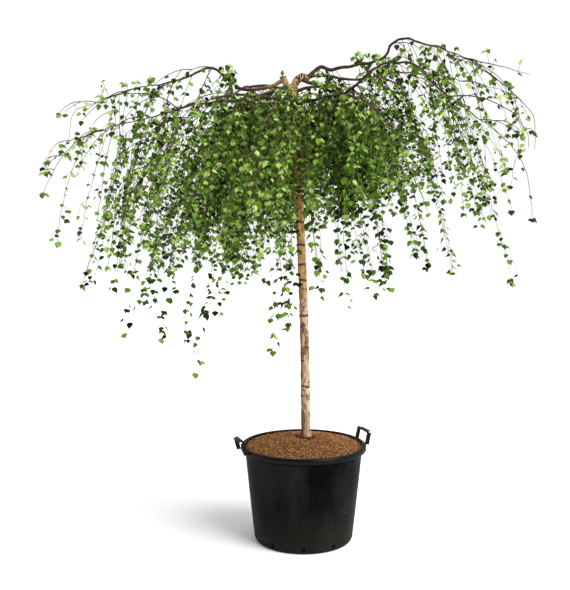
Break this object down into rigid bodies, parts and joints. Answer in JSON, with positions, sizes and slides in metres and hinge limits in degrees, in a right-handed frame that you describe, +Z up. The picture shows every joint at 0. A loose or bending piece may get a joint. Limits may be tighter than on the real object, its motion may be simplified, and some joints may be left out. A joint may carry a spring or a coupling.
{
  "type": "weeping birch tree in a tub",
  "caption": "Weeping birch with a pendulous crown of hanging leafy strands on a straight clear stem, grown in a round plastic tub with two loop handles and a bark-mulched top.",
  "frame": {"origin": "centre of the flat underside of the tub", "axes": "+Z up along the tub's axis, +X to the right of the pictured view, +Y away from the viewer"},
  "size_m": [2.7944, 2.3235, 2.7749],
  "materials": {
    "tub_plastic": "black recycled polyethylene with a low sheen, fine scuffs and dust near the foot",
    "bark_mulch": "dry shredded bark chips over dark growing medium",
    "birch_bark": "peeling cream and orange-brown bark with dark rings of lenticels",
    "bough_bark": "smooth dark brown young bark, tan near the fork",
    "birch_leaves": "fresh green pointed leaves with a soft sheen on thin red-brown twigs"
  },
  "bodies": {
    "root": {"tub": "tub_plastic", "handle_right": "tub_plastic", "handle_left": "tub_plastic", "soil": "bark_mulch", "stem": "birch_bark", "bough_left_upper": "bough_bark", "bough_left_lower": "bough_bark", "bough_right_upper": "bough_bark", "bough_right_middle": "bough_bark", "bough_right_lower": "bough_bark", "bough_front_left": "bough_bark", "bough_front": "bough_bark", "bough_front_right": "bough_bark", "bough_back_right": "bough_bark", "bough_back": "bough_bark", "bough_back_left": "bough_bark", "foliage_right_middle": "birch_leaves", "foliage_back_right": "birch_leaves", "foliage_back": "birch_leaves", "foliage_back_left": "birch_leaves", "foliage_left_upper": "birch_leaves", "foliage_left_lower": "birch_leaves", "foliage_front_left": "birch_leaves", "foliage_front": "birch_leaves", "foliage_front_right": "birch_leaves", "foliage_right_lower": "birch_leaves", "foliage_right_upper": "birch_leaves", "foliage_inner_right": "birch_leaves", "foliage_inner_back": "birch_leaves", "foliage_inner_left": "birch_leaves", "foliage_inner_front_left": "birch_leaves", "foliage_inner_front_right": "birch_leaves"}
  },
  "joints": []
}
